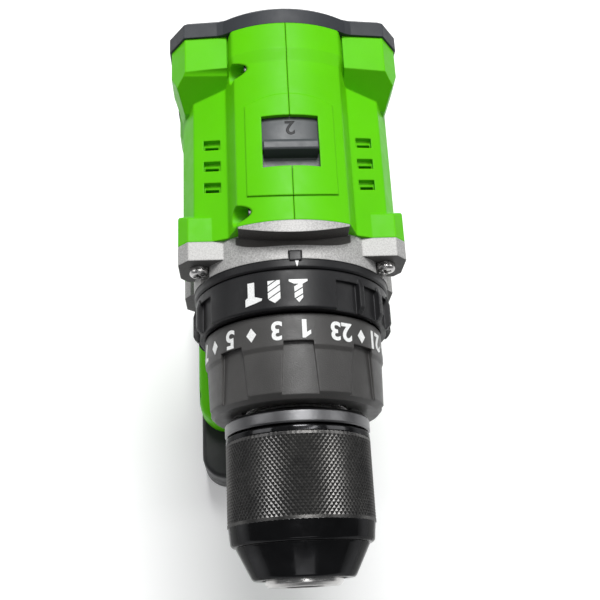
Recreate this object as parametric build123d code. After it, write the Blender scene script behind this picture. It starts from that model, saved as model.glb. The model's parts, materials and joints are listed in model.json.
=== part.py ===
"""Cordless hammer drill with a keyless chuck, a two-speed planetary gearbox and a slide-on battery.

Everything is modelled in the spindle's frame, in millimetres: Y runs along the spindle from the chuck's
nose at y = 0 to the rear cap, Z is up from the spindle's axis, and X is to the right for someone facing
the chuck. write() then moves each piece into the part's own frame, whose origin is at the middle of the
base, where the battery stands.
"""

from build123d import *

import math
import os

os.makedirs("parts", exist_ok=True)

# Overall sizes
LENGTH = 173.0  # chuck nose to the rear cap
AXIS_HEIGHT = 172.0  # base of the battery to the spindle's axis
WALL = 2.6  # moulded wall of the housing
SEAM = 0.08  # half of the gap between the two housing halves

# Stations along the spindle
SLEEVE_REAR = 43.0
BACK_RING_REAR = 47.4
FLANGE_REAR = 89.0
CASE_FRONT = 92.5  # front of the screw lugs
GREEN_FRONT = 98.5  # gear case meets the housing
CASE_REAR = 127.0
PLATE_REAR = 129.5  # motor plate
CAP_FRONT = 166.0
SPINDLE_BEARINGS = ((50.6, 56.6), (81.0, 87.0))
MOTOR_BEARINGS = ((128.0, 132.0), (164.8, 168.8))
STATOR, STATOR_R, POLES = (137.5, 154.5), 25.0, 6
SHAFT_R = 2.5
RATCHET_TEETH = 12

# Screws
CAP_SCREWS = [(x, z) for x in (-30.4, 30.4) for z in (-19.0, 19.0)]
LUG_SCREWS = [(x, z) for x in (-28.4, 28.4) for z in (-16.4, 16.4)]
LUG_TOP, LUG_SIDE = 23.0, 34.6
HOUSING_SCREWS = [  # y, z, where the head sits, where the tip ends, radius of the column
    (102.4, 31.6, -11.0, 9.0, 3.7),
    (151.4, 31.6, -11.0, 9.0, 3.7),
    (122.5, -85.0, -9.0, 9.0, 4.2),
    (151.0, -106.0, -9.0, 9.0, 4.2),
    (89.0, -129.2, -12.0, 9.0, 4.2),
]
PACK_SCREWS = [(x, y) for x in (-27.0, 27.0) for y in (59.2, 157.3)]

# Radii
SLEEVE_R = 21.8
TORQUE_R = 27.6
MODE_GRIP_R = 31.3
CASE_R, CASE_BORE_R, CASE_SKIRT_R = 24.2, 21.5, 31.0
TUBE_R, TUBE_BORE_R = 13.6, 11.0
SPINDLE_R = 5.0

# Gearbox: teeth of sun, planet and ring, and module, for each stage from the motor
STAGE_1 = (12, 18, 48, 0.7)
STAGE_2 = (18, 12, 42, 0.8)
STAGE_3 = (15, 12, 39, 0.9)
PRESSURE_ANGLE = math.radians(25)
ADDENDUM, DEDENDUM = 0.8, 1.05  # in modules
BACKLASH = 0.07
PLANETS = 3
RING_R = 21.3  # outside of the fixed ring gears

# Gear stages along the spindle: each carrier's plate, its gears, and the ring gears
PLATE_1, GEARS_1, RING_1 = (115.6, 119.2), (119.6, 125.4), (119.9, 126.6)
PLATE_2, GEARS_2, RING_2 = (105.9, 108.8), (109.1, 115.2), (110.0, 119.5)
PLATE_3, GEARS_3, RING_3 = (93.4, 97.0), (97.3, 105.0), (93.1, 105.3)
LOCK_RING = (105.8, 108.2)  # six stops inside the gear case, in front of the sliding ring
PIN_R = 1.5
PIN_PLAY = 0.05

# Torque clutch
CLUTCH_BALLS = 6
BALL_R, BALL_PLACE_R = 2.45, 19.7
NUT_FRONT, NUT_WIDTH, NUT_R = 58.5, 4.5, 23.2
SPRING_REAR, SPRING_R, SPRING_WIRE_R = 86.45, 15.7, 1.4
TUBE_FRONT = 49.6

# Mode ring's grip, in degrees about the spindle from +X
NOTCH_START, NOTCH_PITCH, NOTCH_WIDTH, NOTCHES = 67.5, 17.83, 14.6, 16

# Speed change: the knob, the wire yoke that pivots on the case, and the sliding ring gear
KNOB_TRAVEL = 7.0
KNOB_FRONT, KNOB_REAR = 106.6, 133.6
YOKE_UPPER, YOKE_LOWER = 19.0, 12.0  # arms above and below the pivot
YOKE_Y = 112.8
YOKE_TILT = math.degrees(KNOB_TRAVEL / YOKE_UPPER) / 2
YOKE_WIRE_R = 0.8
YOKE_R = 26.4
RING_TRAVEL = KNOB_TRAVEL * YOKE_LOWER / YOKE_UPPER

# Chuck jaws
JAW_ANGLE = 16.0
JAW_R = 3.7
JAW_LENGTH = 25.0
JAW_START_R = 2.2  # a bar's centre line where it meets the nose
JAW_APEX, JAW_WEDGE = 1.4, 59.0  # the wedge's edge from the axis, and its half angle
GRIP_R = 2.0  # radius of the shank that the jaws are set to
CHUCK_BORE_R = 6.8
SCREW_SEAT = 26.8
JAW_PLACES = [90.0, 210.0, 330.0]

# Handle, foot and battery, in Z
TRIGGER_TOP, TRIGGER_LOW = -43.0, -67.0
TRIGGER_TRAVEL = 6.5
LEVER_Z, LEVER_Y = -37.0, 117.0
FOOT_TOP, FOOT_LOW = -124.0, -141.7
FOOT_FRONT, FOOT_REAR, FOOT_HALF = 75.0, 164.0, 37.0
PACK_TOP, PACK_LOW = -142.0, -AXIS_HEIGHT
PACK_FRONT, PACK_REAR, PACK_HALF = 54.0, 162.5, 36.5
PACK_SPLIT = -152.0
CELL_R, CELL_LENGTH, CELL_COUNT = 9.1, 65.0, 5
CELL_FIRST, CELL_PITCH, CELL_Z = 71.5, 18.4, -160.1
BLADES = (-13.0, -6.5, 6.5, 13.0)
RAIL_FRONT = 79.0
LATCH_SPRING_Y = 59.4
LATCH_SPRING_R = 2.1
LEVER_HALF = 22.0
SWITCH_FRONT = 121.6


def section(sketch, y0, y1):
    """A sketch drawn with X across and Z up, extruded from y0 to y1."""
    plane = Plane(origin=(0, y1, 0), x_dir=(1, 0, 0), z_dir=(0, -1, 0))
    return extrude(plane * sketch, amount=y1 - y0)


def side(sketch, x0, x1):
    """A sketch drawn with Y across and Z up, extruded from x0 to x1."""
    plane = Plane(origin=(x0, 0, 0), x_dir=(0, 1, 0), z_dir=(1, 0, 0))
    return extrude(plane * sketch, amount=x1 - x0)


def plan(sketch, z0, z1):
    """A sketch drawn with X across and Y up the page, extruded from z0 to z1."""
    return extrude(Pos(0, 0, z0) * sketch, amount=z1 - z0)


def outline(*points):
    """A closed face through the points."""
    return make_face(Polyline(*points, close=True))


def turned(*profile):
    """A solid of revolution about the spindle's axis, from (radius, y) points."""
    return revolve(outline(*profile), Axis.Y)


def tube(r_out, r_in, y0, y1):
    return turned((r_in, y0), (r_out, y0), (r_out, y1), (r_in, y1))


def rod(r, y0, y1, x=0.0, z=0.0):
    """A round bar along Y."""
    return section(Pos(x, z) * Circle(r), y0, y1)


def cross_rod(r, x0, x1, y, z):
    """A round bar along X."""
    return side(Pos(y, z) * Circle(r), x0, x1)


def rod_up(r, x, y, z0, z1):
    """A round bar along Z."""
    return Pos(x, y, z0) * extrude(Circle(r), amount=z1 - z0)


def block(x0, x1, y0, y1, z0, z1):
    return Pos((x0 + x1) / 2, (y0 + y1) / 2, (z0 + z1) / 2) * Box(x1 - x0, y1 - y0, z1 - z0)


def around(shape, count, start=0.0):
    """Copies of a shape spaced evenly about the spindle's axis."""
    return [Rot(0, -(start + i * 360 / count), 0) * shape for i in range(count)]


def polar(r, degrees):
    return r * math.cos(math.radians(degrees)), r * math.sin(math.radians(degrees))


def write(name, *shapes):
    """Moves the shapes into the part's own frame and writes one node."""
    solids = [s for shape in shapes for s in shape.solids()]
    place = Pos(0, -LENGTH / 2, AXIS_HEIGHT)
    export_step(Compound(children=[place * s for s in solids]), f"parts/{name}.step")


# ---------------------------------------------------------------- gears


def involute(angle):
    return math.tan(angle) - angle


def half_tooth(teeth, module, radius, slack):
    """Half of the angle that a tooth takes up at a radius; slack thins it."""
    pitch_r = teeth * module / 2
    base_r = pitch_r * math.cos(PRESSURE_ANGLE)
    at_pitch = math.pi / (2 * teeth) - slack / (2 * pitch_r)
    roll = involute(math.acos(min(1.0, base_r / radius)))
    return at_pitch + involute(PRESSURE_ANGLE) - roll


def gear_outline(teeth, module, tip, root, phase, slack):
    """The face inside a gear's tooth line. phase, in degrees, turns a tooth's middle away from X."""
    pitch_r = teeth * module / 2
    low, high = pitch_r - root * module, pitch_r + tip * module
    steps = 4
    radii = [low + (high - low) * i / steps for i in range(steps + 1)]
    points = []
    for k in range(teeth):
        middle = math.radians(phase) + 2 * math.pi * k / teeth
        rising = [(r, middle - half_tooth(teeth, module, r, slack)) for r in radii]
        falling = [(r, 2 * middle - a) for r, a in reversed(rising)]
        points += [(r * math.cos(a), r * math.sin(a)) for r, a in rising + falling]
    return outline(*points)


def spur_gear(teeth, module, y0, y1, phase=0.0, bore=0.0, at=(0.0, 0.0)):
    face = gear_outline(teeth, module, ADDENDUM, DEDENDUM, phase, BACKLASH)
    if bore:
        face -= Circle(bore)
    return section(Pos(*at) * face, y0, y1)


def ring_gear(teeth, module, outside, y0, y1, phase):
    """A ring gear whose tooth spaces, not teeth, have their middle at phase."""
    void = gear_outline(teeth, module, DEDENDUM, ADDENDUM, phase, -BACKLASH)
    return section(Circle(outside) - void, y0, y1)


def planet_phase(sun, planet, place, sun_phase):
    """The turn that puts a planet's teeth into the sun's spaces at that place, in degrees."""
    at_contact = sun * (place - sun_phase) / 360
    return place + 180 - 360 * (0.5 - at_contact) / planet


def ring_phase(planet, ring, place, turn):
    """The turn that puts a ring gear's spaces over a planet's teeth at that place, in degrees."""
    return place - 360 * (planet * (place - turn) / 360) / ring


def stage(sun, planet, ring, module, start=90.0):
    """Each planet's (x, z) and turn for a stage whose sun has a tooth at angle 0, and the ring's turn."""
    distance = module * (sun + planet) / 2
    places = [start + i * 360 / PLANETS for i in range(PLANETS)]
    turns = [planet_phase(sun, planet, p, 0.0) for p in places]
    centres = [polar(distance, p) for p in places]
    return list(zip(centres, turns)), ring_phase(planet, ring, places[0], turns[0])


def pins(places, y0, y1):
    return [rod(PIN_R, y0, y1, x, z) for (x, z), _ in places]


def gearbox():
    sun_1, planet_1, ring_1, module_1 = STAGE_1
    sun_2, planet_2, ring_2, module_2 = STAGE_2
    sun_3, planet_3, ring_3, module_3 = STAGE_3
    places_1, turn_1 = stage(*STAGE_1)
    places_2, turn_2 = stage(*STAGE_2)
    places_3, turn_3 = stage(*STAGE_3)
    bore = PIN_R + PIN_PLAY

    write("ring_gear_1", ring_gear(ring_1, module_1, RING_R, *RING_1, turn_1))
    for letter, (centre, turn) in zip("abc", places_1):
        gear = spur_gear(planet_1, module_1, *GEARS_1, turn, bore, centre)
        write(f"planet_gear_1{letter}", gear)

    spline = gear_outline(ring_2, module_2, ADDENDUM, DEDENDUM - 0.05, turn_2, BACKLASH)
    carrier = section(spline, *PLATE_1)
    carrier += spur_gear(sun_2, module_2, GEARS_2[0] + 0.2, PLATE_1[0] + 0.1)
    for pin in pins(places_1, PLATE_1[1] - 0.5, GEARS_1[1]):
        carrier += pin
    write("carrier_1", carrier)

    ring = ring_gear(ring_2, module_2, 20.9, *RING_2, turn_2)
    groove_y = YOKE_Y + RING_TRAVEL / 2
    ring -= tube(22.0, 19.5, groove_y - YOKE_WIRE_R - 0.35, groove_y + YOKE_WIRE_R + 0.35)
    ring -= tube(22.0, 19.2, RING_2[0] - 1, RING_2[0] + 2.9)
    write("speed_ring_gear", ring)

    plate = tube(16.0, 3.0, *PLATE_2)
    plate += spur_gear(sun_3, module_3, GEARS_3[0] + 0.2, PLATE_2[0] + 0.1)
    for pin in pins(places_2, PLATE_2[1] - 0.5, GEARS_2[1]):
        plate += pin
    write("carrier_2", plate)
    planets = [spur_gear(planet_2, module_2, *GEARS_2, turn, bore, at) for at, turn in places_2]
    write("planet_gears_2", *planets)

    clutch_ring = ring_gear(ring_3, module_3, RING_R, *RING_3, turn_3)
    ramps = section(Pos(19.7, 0) * Rectangle(2.6, 3.0), RING_3[0] - 1, RING_3[0] + 1.2)
    for ramp in around(ramps, CLUTCH_BALLS, 30):
        clutch_ring -= ramp
    write("clutch_ring_gear", clutch_ring)
    for letter, (centre, turn) in zip("abc", places_3):
        gear = spur_gear(planet_3, module_3, *GEARS_3, turn, bore, centre)
        write(f"planet_gear_3{letter}", gear)

    spindle = rod(15.8, *PLATE_3)
    spindle += rod(SPINDLE_R, 30.5, PLATE_3[0] + 1)
    spindle += rod(6.2, 31.0, 46.8)
    spindle += rod(7.0, 89.4, PLATE_3[0] + 1)
    for pin in pins(places_3, PLATE_3[1] - 0.5, GEARS_3[1]):
        spindle += pin
    spindle -= rod(2.6, 20.0, 58.0)
    write("spindle", spindle)


# ---------------------------------------------------------------- chuck


def jaw_line(place):
    """The frame of one jaw's slide: Z runs along it towards the nose and the spindle's axis."""
    x, z = polar(1.0, place)
    lean = math.radians(JAW_ANGLE)
    forward = Vector(-x * math.sin(lean), -math.cos(lean), -z * math.sin(lean))
    start = Vector(x * JAW_START_R, 0, z * JAW_START_R)
    return Plane(origin=start, x_dir=Vector(-z, 0, x), z_dir=forward)


def jaw_bar(place, radius, rear, front=0.0):
    """A round bar on a jaw's slide, from front to rear, both measured back from the nose."""
    line = jaw_line(place)
    start = Plane(origin=line.origin + line.z_dir * front, x_dir=line.x_dir, z_dir=line.z_dir)
    return extrude(start * Circle(radius), amount=-rear - front)


def jaw(place):
    """One jaw: a round bar cut to a wedge, with a hollow along its gripping edge."""
    bar = jaw_bar(place, JAW_R, JAW_LENGTH) & block(-40, 40, 0.6, 60, -40, 40)
    x, z = polar(JAW_APEX, place)
    arms = [polar(40, place + turn) for turn in (JAW_WEDGE, -JAW_WEDGE)]
    wedge = outline((x, z), *[(x + dx, z + dz) for dx, dz in arms])
    return (bar & section(wedge, -1, 60)) - rod(GRIP_R, -5, 60)


def chuck():
    body = turned(
        (0, 0), (10.4, 0), (11.3, 0.9), (11.3, 4), (16.4, 15), (17.0, 17.0), (17.2, 43), (13, 47.0), (0, 47.0)
    )
    body -= rod(CHUCK_BORE_R, -1, SCREW_SEAT)
    body -= rod(3.2, SCREW_SEAT - 1, 30)
    body -= rod(6.25, 29.4, 48)
    body -= turned((11.2, 17.8), (18.7, 17.8), (18.7, 23.7), (12.75, 23.7))
    for place in JAW_PLACES:
        body -= jaw_bar(place, JAW_R + 0.12, 46, 6)
    write("chuck_body", body)

    for letter, place in zip("abc", JAW_PLACES):
        write(f"chuck_jaw_{letter}", jaw(place))

    write("chuck_nut", turned((11.4, 18.0), (18.6, 18.0), (18.6, 23.5), (12.95, 23.5)))

    nose = [(11.7, 2.9), (12.6, 2.0), (14.6, 2.0), (15.2, 2.6), (19.5, 10.9), (19.5, 11.3)]
    rim = [(20.5, 11.4), (21.1, 12.1), (21.6, 16.8), (SLEEVE_R, 17.2), (SLEEVE_R, 41.8), (21.2, SLEEVE_REAR)]
    inside = [(18.6, SLEEVE_REAR), (18.6, 17.0), (17.3, 13.6), (11.7, 3.4)]
    write("chuck_sleeve", turned(*nose, *rim, *inside))

    face = [(17.4, 42.0), (18.3, 42.0), (18.3, 43.25), (21.6, 43.25), (22.0, 43.7), (22.0, 46.6)]
    write("chuck_back_ring", turned(*face, (21.3, BACK_RING_REAR), (13.4, BACK_RING_REAR), (17.4, 43.2)))

    screw = rod(4.4, SCREW_SEAT - 2.4, SCREW_SEAT) + rod(2.5, SCREW_SEAT, 52.0)
    screw -= section(RegularPolygon(2.0, 6), SCREW_SEAT - 3, SCREW_SEAT - 0.8)
    write("chuck_screw", screw)


# ---------------------------------------------------------------- gear case and collars


def barrel_face():
    """The housing's section across the spindle: a crowned spine above sloping shoulders."""
    spine, bevel, shoulder = (16.4, 32.9), (19.2, 25.0), (29.6, 20.8)
    right = [spine, bevel, shoulder, (33.5, 12.0), (33.5, -11.0), (28.5, -24.0), (16.0, -33.0)]
    crown = ThreePointArc((-spine[0], spine[1]), (0, 37.0), spine)
    face = make_face([crown, Polyline(*right, *[(-x, z) for x, z in reversed(right)])])
    return fillet(face.vertices(), 1.2)


def crown_under(radius):
    """A long rod that shares the axis of the spine's crown, whose own radius is 34.85."""
    return section(Pos(0, 2.15) * Circle(radius), 100, 145)


def lug(front, rear, slope):
    """A screw boss on the upper right corner, with a flat top that falls away over its last part."""
    across = outline((19, LUG_TOP), (31.4, LUG_TOP), (LUG_SIDE, 19.4), (LUG_SIDE, 9.0), (32.6, 6.0), (19, 6.0))
    above = outline((18, front), (36, front), (36, rear - slope), (32.4, rear), (18, rear))
    shape = section(across, front, rear) & plan(above, 0, 40)
    fall = outline((rear - slope, LUG_TOP), (rear - slope, 40), (rear + 1, 40), (rear + 1, 15.0))
    return shape - side(fall, 0, 60)


def four_corners(shape):
    """The shape on the upper right, with its reflections on the three other corners."""
    right = [shape, mirror(shape, Plane.XY)]
    return right + [mirror(s, Plane.YZ) for s in right]


def ball_holes(y0, y1):
    return around(rod(BALL_R + 0.07, y0, y1, BALL_PLACE_R), CLUTCH_BALLS, 30)


def gear_case():
    nose = [(TUBE_BORE_R, TUBE_FRONT), (TUBE_R, TUBE_FRONT), (TUBE_R, FLANGE_REAR), (CASE_SKIRT_R, FLANGE_REAR)]
    back = [(CASE_SKIRT_R, GREEN_FRONT), (CASE_R, GREEN_FRONT), (CASE_R, CASE_REAR), (TUBE_BORE_R, CASE_REAR)]
    case = turned(*nose, *back)
    spine = section(barrel_face(), 94.0, GREEN_FRONT) & block(-16.3, 16.3, 90, 99, 26, 40)
    front = ThreePointArc((-16.6, 97.9), (0, 94.6), (16.6, 97.9))
    case += spine - plan(make_face([front, Polyline(front @ 1, (16.6, 90), (-16.6, 90), front @ 0)]), 20, 40)
    for corner in four_corners(lug(CASE_FRONT, GREEN_FRONT, 0.0)):
        case += corner
    case -= rod(CASE_BORE_R, CASE_FRONT, CASE_REAR + 1)
    relief = tube(28.4, 24.4, CASE_FRONT + 2.5, GREEN_FRONT + 1)
    case -= relief & (block(-50, 50, 90, 100, -50, -6) + block(-50, 50, 90, 100, 6, 50))
    for x, z in LUG_SCREWS:
        case -= rod(1.55, 88, 100, x, z) + rod(3.4, 88, CASE_FRONT, x, z)
    for hole in ball_holes(FLANGE_REAR - 1, CASE_FRONT + 1):
        case -= hole
    for dog in around(section(Pos(20.6, 0) * Rectangle(2.4, 3.4), *LOCK_RING), 6):
        case += dog
    for groove in around(section(Pos(TUBE_R, 0) * Rectangle(2.6, 3.2), NUT_FRONT - 2, NUT_FRONT + 12), 3, 90):
        case -= groove
    case -= tube(TUBE_R + 1, TUBE_R - 0.9, 50.2, 51.6)
    for x in (-1, 1):
        case -= Pos(23 * x, YOKE_Y, 0.3) * Box(7, RING_TRAVEL + 3.0, 4.4)
        case += cross_rod(1.2, *sorted((x * 19.5, x * 25.0)), YOKE_Y, YOKE_LOWER)
    case -= block(-2.0, 2.0, FLANGE_REAR - 1, 91.6, 28.5, 34)
    write("gear_case", case)

    screws = []
    for x, z in LUG_SCREWS:
        screw = rod(3.0, 90.0, CASE_FRONT, x, z)
        screw = fillet(screw.edges().sort_by(Axis.Y)[0], 1.0)
        cross = Rectangle(3.4, 0.9) + Rectangle(0.9, 3.4)
        screw -= section(Pos(x, z) * Rot(0, 0, 20) * cross, 89.0, 91.4)
        screws.append(screw + rod(1.5, CASE_FRONT - 0.5, 111.0, x, z))
    write("gear_case_screws", *screws)
    write("retaining_ring", tube(15.6, TUBE_R - 0.85, 50.3, 51.5) - block(-3, 3, 50, 52, -20, 0))

    hub = [(14.0, FLANGE_REAR - 0.02), (14.0, 88.1), (22.9, 88.1), (22.9, 74.5), (24.3, 74.5), (24.3, 86.3)]
    rim = [(30.3, 86.3), (30.8, 86.8), (30.8, FLANGE_REAR - 0.02)]
    flange = turned(*hub, *rim) + block(-1.7, 1.7, 88.5, 91.4, 28.7, 31.3)
    for hole in ball_holes(86, 90):
        flange -= hole
    write("mode_flange", flange)


def wedge_about(start, width):
    """A face that covers width degrees about the spindle, ending at start."""
    return outline((0, 0), polar(60, start), polar(60, start - width))


def mode_ring():
    ring = turned((24.6, 74.1), (29.9, 74.1), (30.4, 74.6), (30.4, 85.7), (30.0, 86.1), (24.6, 86.1))
    notch = turned((29.3, 70), (33, 70), (33, 83.2), (29.3, 83.2))
    bar = [(28, 74.9), (30.7, 74.9), (MODE_GRIP_R, 76.0), (MODE_GRIP_R, 82.2), (30.6, 84.6), (28, 84.6)]
    for k in range(NOTCHES):
        start = NOTCH_START - k * NOTCH_PITCH
        ring -= notch & section(wedge_about(start, NOTCH_WIDTH), 70, 84)
        if k < NOTCHES - 1:
            rib = wedge_about(start - NOTCH_WIDTH, NOTCH_PITCH - NOTCH_WIDTH)
            ring += turned(*bar) & section(rib, 74, 85)
    write("mode_ring", ring - tube(27.4, 24.0, 70, 84.0))


def torque_clutch():
    front = [(14.0, 52.0), (17.5, 52.0), (19.0, 49.6), (19.6, 49.0), (25.0, 49.0), (26.7, 50.8), (27.1, 62.9)]
    rear = [(TORQUE_R, 64.2), (TORQUE_R, 73.3), (27.3, 73.6), (23.4, 73.6), (23.4, 55.0), (14.0, 55.0)]
    ring = turned(*front, *rear)
    recess = plan(outline((-6.0, 40), (6.0, 40), (4.3, 65.4), (-4.3, 65.4)), 20, 40)
    recess -= rod(TORQUE_R - 1.5, 40, 66.0)
    for cut in around(recess, 8):
        ring -= cut
    write("torque_ring", ring)

    nut = tube(NUT_R, TUBE_R + 0.1, NUT_FRONT, NUT_FRONT + NUT_WIDTH)
    key = section(Pos(TUBE_R - 0.1, 0) * Rectangle(2.2, 2.9), NUT_FRONT, NUT_FRONT + NUT_WIDTH)
    for tooth in around(key, 3, 90):
        nut += tooth
    write("clutch_nut", nut)

    height = SPRING_REAR - NUT_FRONT - NUT_WIDTH - 2 * SPRING_WIRE_R - 0.2
    coil = Helix(pitch=4.3, height=height, radius=SPRING_R)
    spring = sweep(Plane(origin=coil @ 0, z_dir=coil % 0) * Circle(SPRING_WIRE_R), coil, is_frenet=True)
    write("clutch_spring", Pos(0, SPRING_REAR - SPRING_WIRE_R - 0.1, 0) * Rot(90, 0, 0) * spring)
    write("clutch_washer", tube(22.6, 14.2, SPRING_REAR, SPRING_REAR + 1.5))
    write("clutch_balls", *around(Pos(BALL_PLACE_R, 90.52, 0) * Sphere(BALL_R), CLUTCH_BALLS, 30))


def bearing(r_out, r_in, y0, y1):
    """A ball bearing closed by its shields, which sit back between its two rings."""
    shield_out, shield_in = r_in + 0.72 * (r_out - r_in), r_in + 0.32 * (r_out - r_in)
    ends = tube(shield_out, shield_in, y0 - 1, y0 + 0.5) + tube(shield_out, shield_in, y1 - 0.5, y1 + 1)
    return tube(r_out, r_in, y0, y1) - ends


def hammer():
    """Two toothed rings that face each other: one in the case, one on the spindle."""
    fixed = tube(TUBE_BORE_R, 6.2, 76.6, 79.4)
    moving = tube(10.6, SPINDLE_R, 70.4, 73.0)
    fixed_tooth = section(Pos(8.8, 0) * Rectangle(3.2, 2.6), 75.3, 76.7)
    moving_tooth = section(Pos(8.8, 0) * Rectangle(3.2, 2.6), 72.9, 75.0)
    for tooth in around(fixed_tooth, RATCHET_TEETH):
        fixed += tooth
    for tooth in around(moving_tooth, RATCHET_TEETH):
        moving += tooth
    write("hammer_ratchet_fixed", fixed)
    write("hammer_ratchet_spindle", moving)


def speed_change():
    """The knob on the spine and the wire yoke that carries its movement down to the sliding ring."""
    half = YOKE_WIRE_R
    arc = section(Circle(YOKE_R + half) - Circle(YOKE_R - half), YOKE_Y - half, YOKE_Y + half)
    yoke = arc & block(-40, 40, 100, 130, 0, 40)
    yoke += section(Pos(0, 28.7) * Rectangle(3.0, 5.0), YOKE_Y - half, YOKE_Y + half)
    eye = math.sqrt(YOKE_R**2 - YOKE_LOWER**2)
    for x in (-1, 1):
        yoke += cross_rod(half, *sorted((x * 20.0, x * YOKE_R)), YOKE_Y, 0)
        yoke += cross_rod(2.6, *sorted((x * (eye - 0.8), x * (eye + 0.8))), YOKE_Y, YOKE_LOWER)
        yoke -= cross_rod(1.3, *sorted((x * 20, x * 30)), YOKE_Y, YOKE_LOWER)
    pivot = Pos(0, YOKE_Y, YOKE_LOWER)
    write("shift_yoke", pivot * Rot(YOKE_TILT, 0, 0) * pivot.inverse() * yoke)

    knob = block(-9.8, 9.8, KNOB_FRONT, 124.0, 31.0, 33.3)
    knob += crown_under(33.7) & block(-9.8, 9.8, 122.6, KNOB_REAR, 31.0, 40.0)
    ridge = outline((120.4, 32.6), (121.2, 37.5), (121.7, 37.9), (123.6, 37.9), (124.6, 37.4), (125.9, 33.3))
    knob += side(ridge, -8.1, 8.1)
    slot_y = YOKE_Y - KNOB_TRAVEL / 2
    knob += block(-3.2, 3.2, slot_y - 2.6, slot_y + 2.6, 28.2, 31.1)
    knob -= block(-1.9, 1.9, slot_y - 1.45, slot_y + 1.45, 28.0, 31.3)
    write("speed_knob", knob)


def motor():
    plate = tube(24.0, 6.5, CASE_REAR, PLATE_REAR) + tube(9.0, 6.5, CASE_REAR, MOTOR_BEARINGS[0][1])
    write("motor_plate", plate + tube(6.6, 5.0, CASE_REAR, CASE_REAR + 0.9))
    large = [bearing(TUBE_BORE_R, SPINDLE_R, *span) for span in SPINDLE_BEARINGS]
    small = [bearing(6.5, SHAFT_R, *span) for span in MOTOR_BEARINGS]
    write("bearings", *large, *small)
    pinion = spur_gear(STAGE_1[0], STAGE_1[3], 119.8, 126.3)
    write("rotor_shaft", rod(SHAFT_R, 126.2, 168.8) + pinion)
    write("rotor_core", tube(12.6, SHAFT_R, 137.0, 155.0))

    fan = tube(4.6, SHAFT_R, 159.6, 163.8) + tube(20.5, 4.0, 163.0, 163.8)
    for blade in around(section(Pos(12.4, 0) * Rot(0, 0, 22) * Rectangle(15.5, 0.9), 159.6, 163.2), 9):
        fan += blade
    write("cooling_fan", fan)

    core = tube(STATOR_R, 21.6, *STATOR)
    shoe = section(wedge_about(24, 48), *STATOR) & tube(15.2, 13.2, *STATOR)
    tooth = section(Pos(18.3, 0) * Rectangle(7.6, 5.0), *STATOR)
    for pole in around(tooth + shoe, POLES):
        core += pole
    write("stator_core", core)
    coil = block(15.6, 20.9, 133.6, 158.4, -5.0, 5.0)
    coil = fillet(coil.edges().filter_by(Axis.X), 2.4) - block(15, 22, 137.3, 154.7, -2.6, 2.6)
    write("stator_windings", *around(coil, POLES))


# ---------------------------------------------------------------- housing


def rear_face():
    """The cap's outline, which takes in the four lobes that carry its screws."""
    top = [(19.4, 32.0), (21.4, 31.4), (31.9, 30.4), (37.0, 22.8), (37.0, 11.8), (34.4, 5.5)]
    low = [(34.4, -5.5), (37.0, -11.8), (37.0, -22.8), (31.9, -30.4), (22.0, -31.6), (16.5, -33.8)]
    crown = ThreePointArc((-top[0][0], top[0][1]), (0, 37.7), top[0])
    rim = Polyline(*top, *low, *[(-x, z) for x, z in reversed(top + low)])
    return make_face([crown, rim])


def rear_lobe():
    """One lobe as it grows out of the barrel towards the rear."""
    across = outline((18.4, 30.8), (31.6, 29.7), (36.4, 22.5), (36.4, 12.0), (33.0, 5.0), (18.4, 5.0))
    above = outline((18, 146), (32.6, 146), (36.4, 156), (36.4, CAP_FRONT), (18, CAP_FRONT))
    rise = outline((144, 60), (144, 14.5), (154.5, 31.6), (154.5, 60))
    return (section(across, 146, CAP_FRONT) & plan(above, 0, 40)) - side(rise, 0, 60)


def handle_loft(grow, top=-26.0, low=-126.0):
    """The grip from the barrel down to the foot."""
    stations = [(top, 131, 56, 42), (-38, 131.4, 48, 38), (-55, 132.5, 45, 35), (-78, 135.5, 42.5, 33.5)]
    stations += [(-100, 138, 41.5, 33.5), (-115, 139.5, 43, 35.5), (low, 139.5, 48, 42)]
    faces = []
    for z, y, depth, width in stations:
        shape = RectangleRounded(width + 2 * grow, depth + 2 * grow, 13.5 + grow)
        faces.append(Pos(0, y, z) * shape)
    return loft(faces)


def foot_block(grow, z0, z1):
    middle, length = (FOOT_FRONT + FOOT_REAR) / 2, FOOT_REAR - FOOT_FRONT
    face = RectangleRounded(2 * (FOOT_HALF + grow), length + 2 * grow, 13 + grow)
    return Pos(0, middle, 0) * plan(face, z0, z1)


def screw_boss(y, z, seat, tip, r_boss):
    """The column around a housing screw, and the bore that the screw leaves in it."""
    column = cross_rod(r_boss, -FOOT_HALF, seat + 2, y, z) + cross_rod(r_boss - 0.6, seat, FOOT_HALF, y, z)
    bore = cross_rod(3.1, -60, seat, y, z) + cross_rod(1.55, seat - 1, tip + 0.3, y, z)
    return column, bore


def pad_outline():
    """The low raised field on the spine around the speed knob."""
    rear = ThreePointArc((-13.4, 137.6), (0, 140.6), (13.4, 137.6))
    front = ThreePointArc((13.4, 107.4), (0, 106.2), (-13.4, 107.4))
    return make_face([rear, Line(rear @ 1, front @ 0), front, Line(front @ 1, rear @ 0)])


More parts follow.
